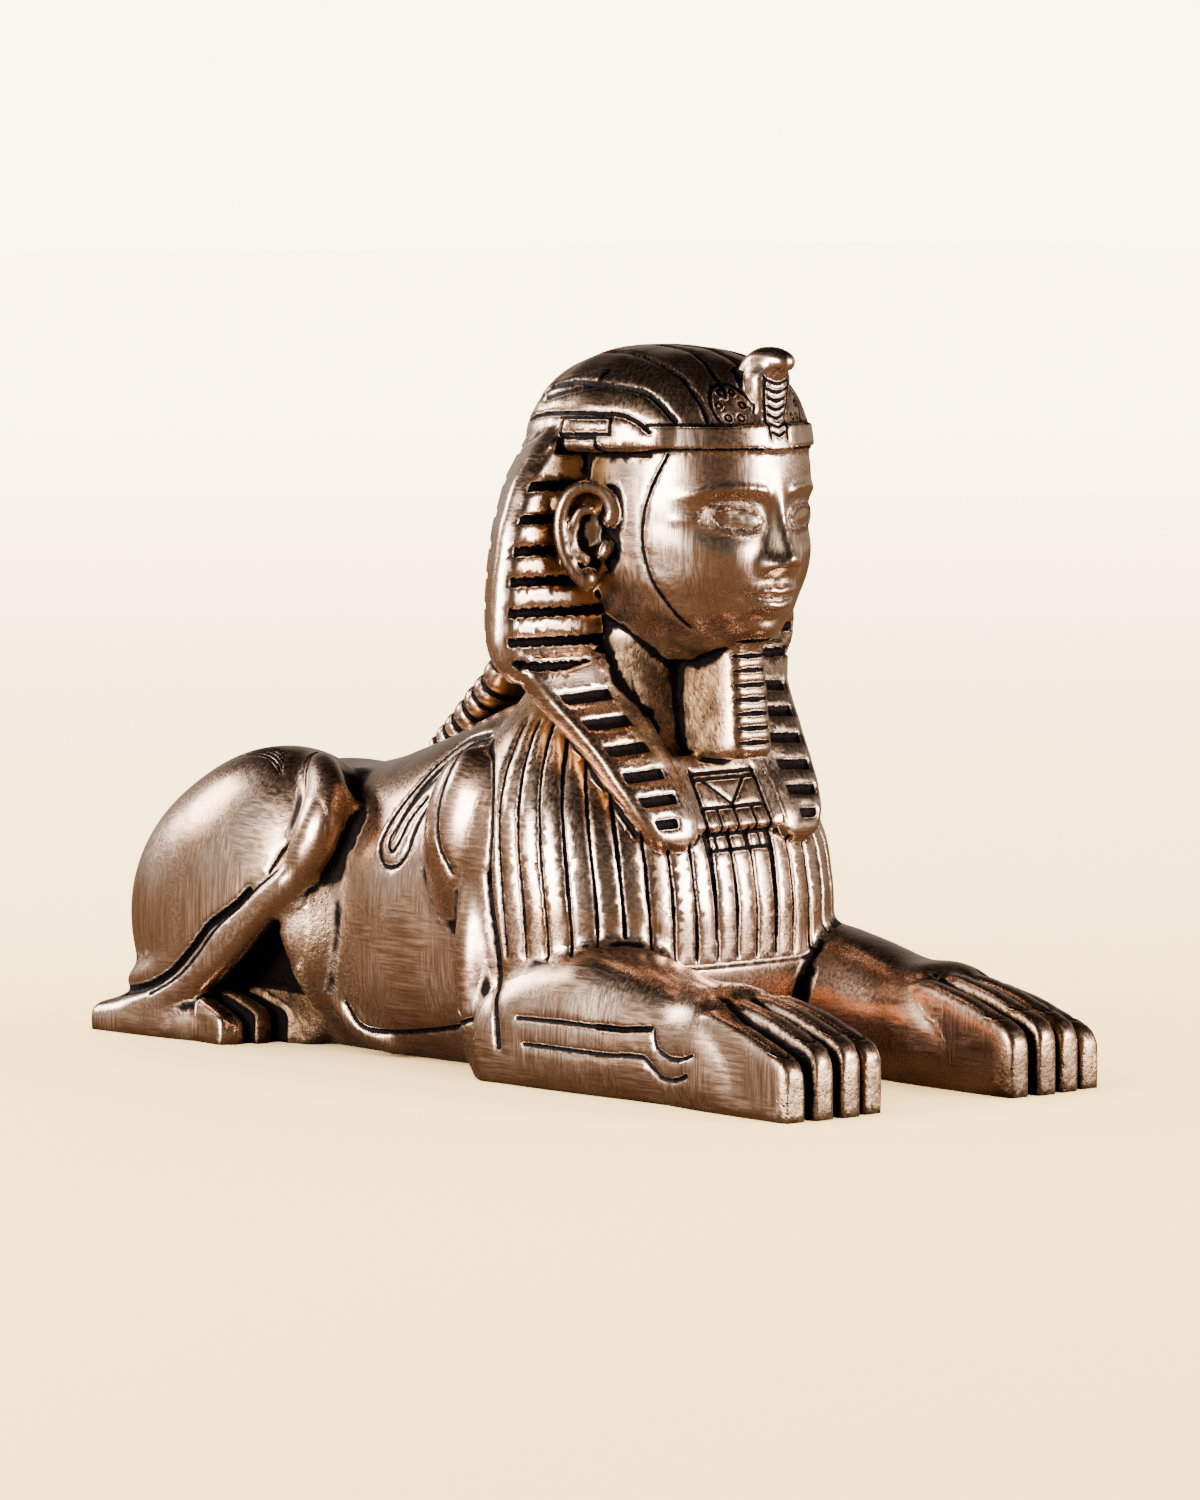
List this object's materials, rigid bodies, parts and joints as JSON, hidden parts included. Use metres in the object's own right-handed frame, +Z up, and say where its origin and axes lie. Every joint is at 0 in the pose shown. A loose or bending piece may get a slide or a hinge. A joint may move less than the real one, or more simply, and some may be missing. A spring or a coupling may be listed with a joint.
{
  "type": "sphinx statue",
  "caption": "Small cast bronze sphinx lying down: a lion's body and paws with a calm human head in a striped head cloth",
  "frame": {"origin": "on the surface the figure lies on, under the middle of its bounding box", "axes": "+Z up; the face and forepaws point along -Y; the figure's right side is -X"},
  "size_m": [0.078, 0.1947, 0.1328],
  "materials": {
    "bronze": "warm pinkish-brown bronze, brushed bright on the raised forms, near-black patina in the grooves"
  },
  "bodies": {
    "root": {"sphinx": "bronze"}
  },
  "joints": []
}
